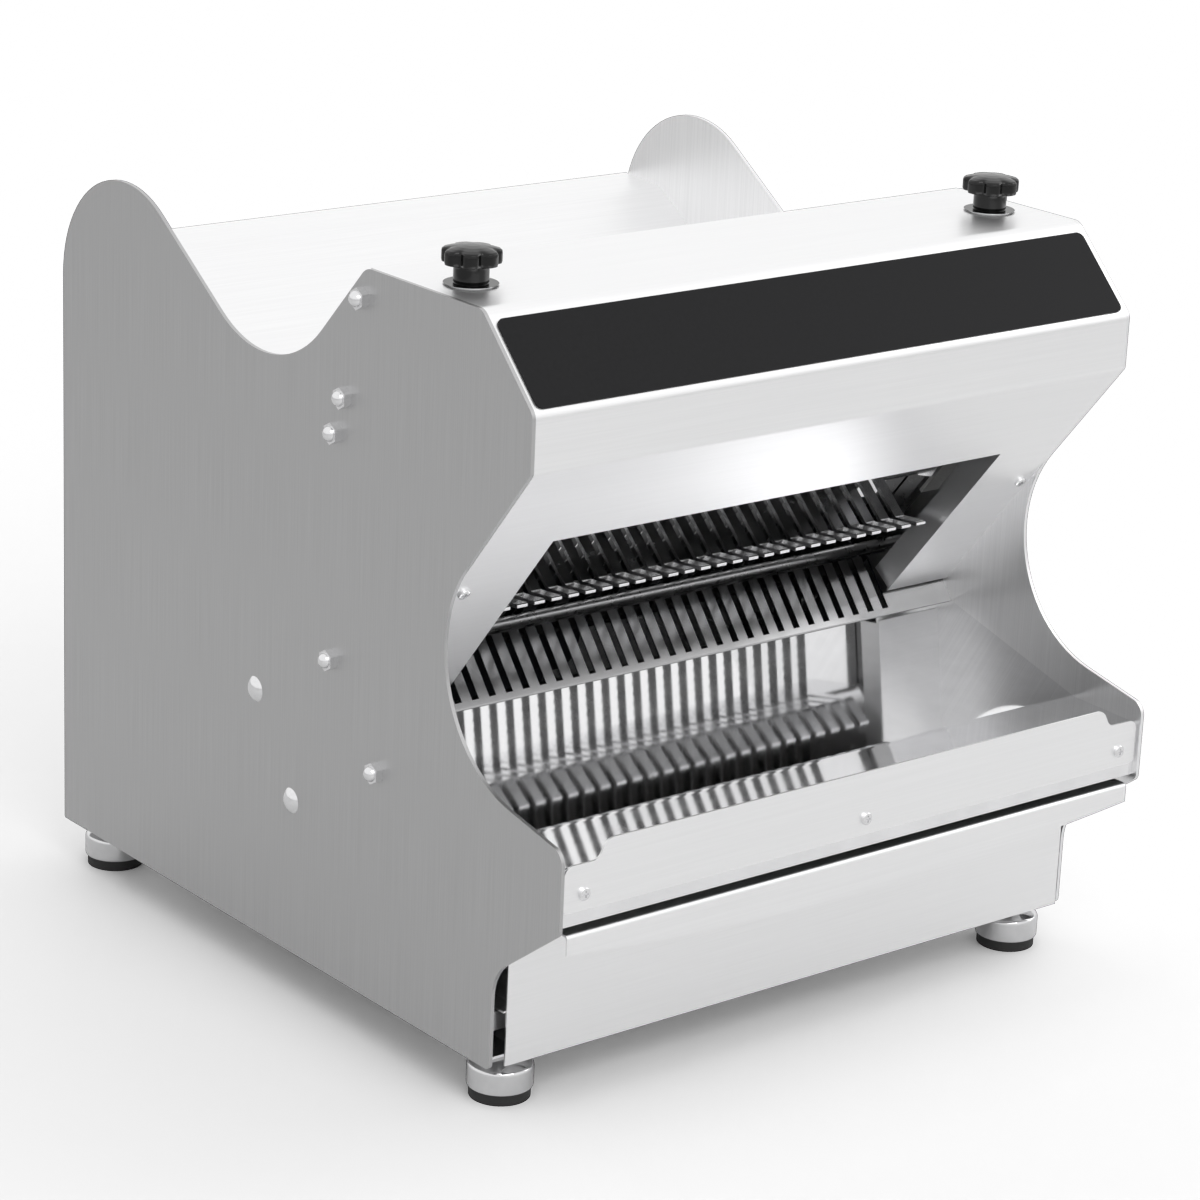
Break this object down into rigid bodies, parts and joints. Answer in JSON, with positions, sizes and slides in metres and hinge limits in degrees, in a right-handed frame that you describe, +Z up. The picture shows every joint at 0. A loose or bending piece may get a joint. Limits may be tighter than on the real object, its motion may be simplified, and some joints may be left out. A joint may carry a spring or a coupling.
{
  "type": "bread slicer",
  "caption": "Table-top bread slicer: sheet steel body, sloping loaf hopper, reciprocating blade frames, adjustable hold-down comb, slicing tray and crumb drawer",
  "frame": {"origin": "centre of the machine on the ground, under the middle of its bounding box", "axes": "+Z up, +Y towards the rear where the hopper fills, the outlet tray faces -Y, +X to the right seen from the front"},
  "size_m": [0.6034, 0.6691, 0.6243],
  "materials": {
    "panel_steel": "satin stainless sheet with a vertical grain",
    "satin_steel": "satin stainless sheet",
    "polished_steel": "mirror-polished stainless sheet",
    "dark_panel": "glossy near-black facing",
    "knob_black": "dark moulded knob",
    "foot_chrome": "bright dome",
    "foot_rubber": "matt black rubber",
    "belt_rubber": "black belt",
    "motor_paint": "dark grey paint",
    "inlet_plastic": "black moulding",
    "guide_plastic": "white low-friction plastic",
    "bearing_iron": "grey casting",
    "pulley_alloy": "turned alloy",
    "blade_steel": "blade steel",
    "bright_fasteners": "bright stainless",
    "machined_steel": "machined steel"
  },
  "bodies": {
    "housing": {"base_plate": "satin_steel", "bearing_bolts_left": "bright_fasteners", "bearing_bolts_right": "bright_fasteners", "bearing_left": "bearing_iron", "bearing_right": "bearing_iron", "chute": "polished_steel", "drawer_rail_left": "machined_steel", "drawer_rail_right": "machined_steel", "foot_front_left": "foot_chrome", "foot_front_right": "foot_chrome", "foot_rear_left": "foot_chrome", "foot_rear_right": "foot_chrome", "foot_rubbers": "foot_rubber", "guide_rail_left": "guide_plastic", "guide_rail_right": "guide_plastic", "hood_cover": "satin_steel", "hood_dark_panel": "dark_panel", "hood_screws": "bright_fasteners", "hopper_front_wall": "satin_steel", "knob_washers": "bright_fasteners", "left_side_panel": "panel_steel", "lip_plate": "satin_steel", "lip_screws": "bright_fasteners", "lower_comb": "polished_steel", "mains_inlet": "inlet_plastic", "motor_body": "motor_paint", "motor_plate": "satin_steel", "ramp_tray": "polished_steel", "rear_cover": "satin_steel", "right_side_panel": "panel_steel", "tie_nuts_left": "bright_fasteners", "tie_nuts_right": "bright_fasteners", "tie_rod_1": "machined_steel", "tie_rod_2": "machined_steel", "v_belt": "belt_rubber", "wall_nuts_left": "bright_fasteners", "wall_nuts_right": "bright_fasteners"},
    "motor_rotor": {"motor_shaft": "machined_steel", "motor_pulley": "pulley_alloy"},
    "crank": {"crankshaft": "machined_steel", "crank_pulley": "pulley_alloy"},
    "blades_front": {"blade_frame_a": "machined_steel", "blades_a": "blade_steel", "wrist_pin_a": "machined_steel"},
    "blades_back": {"blade_frame_b": "machined_steel", "blades_b": "blade_steel", "wrist_pin_b": "machined_steel"},
    "rod_front": {"con_rod_a": "machined_steel"},
    "rod_back": {"con_rod_b": "machined_steel"},
    "comb": {"upper_comb": "polished_steel"},
    "knob_l": {"knob_left": "knob_black", "knob_screw_left": "machined_steel"},
    "knob_r": {"knob_right": "knob_black", "knob_screw_right": "machined_steel"},
    "drawer": {"crumb_drawer": "satin_steel", "drawer_front": "satin_steel"}
  },
  "joints": [
    {"name": "motor_turn", "type": "hinge", "parent": "housing", "child": "motor_rotor", "pos_m": [-0.19, 0.2045, 0.186], "axis": [1, 0, 0], "continuous": true},
    {"name": "crank_turn", "type": "hinge", "parent": "housing", "child": "crank", "pos_m": [0, 0.0745, 0.1683], "axis": [1, 0, 0], "continuous": true},
    {"name": "front_blades_slide", "type": "slide", "parent": "housing", "child": "blades_front", "axis": [0, -0.6293, 0.7771], "range_m": [-0.018, 0.018]},
    {"name": "back_blades_slide", "type": "slide", "parent": "housing", "child": "blades_back", "axis": [0, -0.6293, 0.7771], "range_m": [-0.018, 0.018]},
    {"name": "front_rod_swing", "type": "hinge", "parent": "blades_front", "child": "rod_front", "pos_m": [0.245, 0.01993, 0.2246], "axis": [1, 0, 0], "range_deg": [0, 26.5]},
    {"name": "back_rod_swing", "type": "hinge", "parent": "blades_back", "child": "rod_back", "pos_m": [-0.245, 0.03081, 0.23341], "axis": [1, 0, 0], "range_deg": [-26.5, 0]},
    {"name": "comb_height", "type": "slide", "parent": "housing", "child": "comb", "axis": [0, 0, 1], "range_m": [0, 0.045]},
    {"name": "knob_left_turn", "type": "hinge", "parent": "housing", "child": "knob_l", "pos_m": [-0.2527, -0.1595, 0.6], "axis": [0, 0, 1], "range_deg": [0, 5402]},
    {"name": "knob_right_turn", "type": "hinge", "parent": "housing", "child": "knob_r", "pos_m": [0.2527, -0.1595, 0.6], "axis": [0, 0, 1], "range_deg": [0, 5402]},
    {"name": "drawer_slide", "type": "slide", "parent": "housing", "child": "drawer", "axis": [0, -1, 0], "range_m": [0, 0.42]}
  ],
  "couplings": [
    {"joint": "crank_turn", "follows": "motor_turn", "ratio": 0.4},
    {"joint": "back_blades_slide", "follows": "front_blades_slide", "ratio": -1},
    {"joint": "knob_left_turn", "follows": "comb_height", "rad_per_m": 2094.4},
    {"joint": "knob_right_turn", "follows": "comb_height", "rad_per_m": 2094.4}
  ]
}
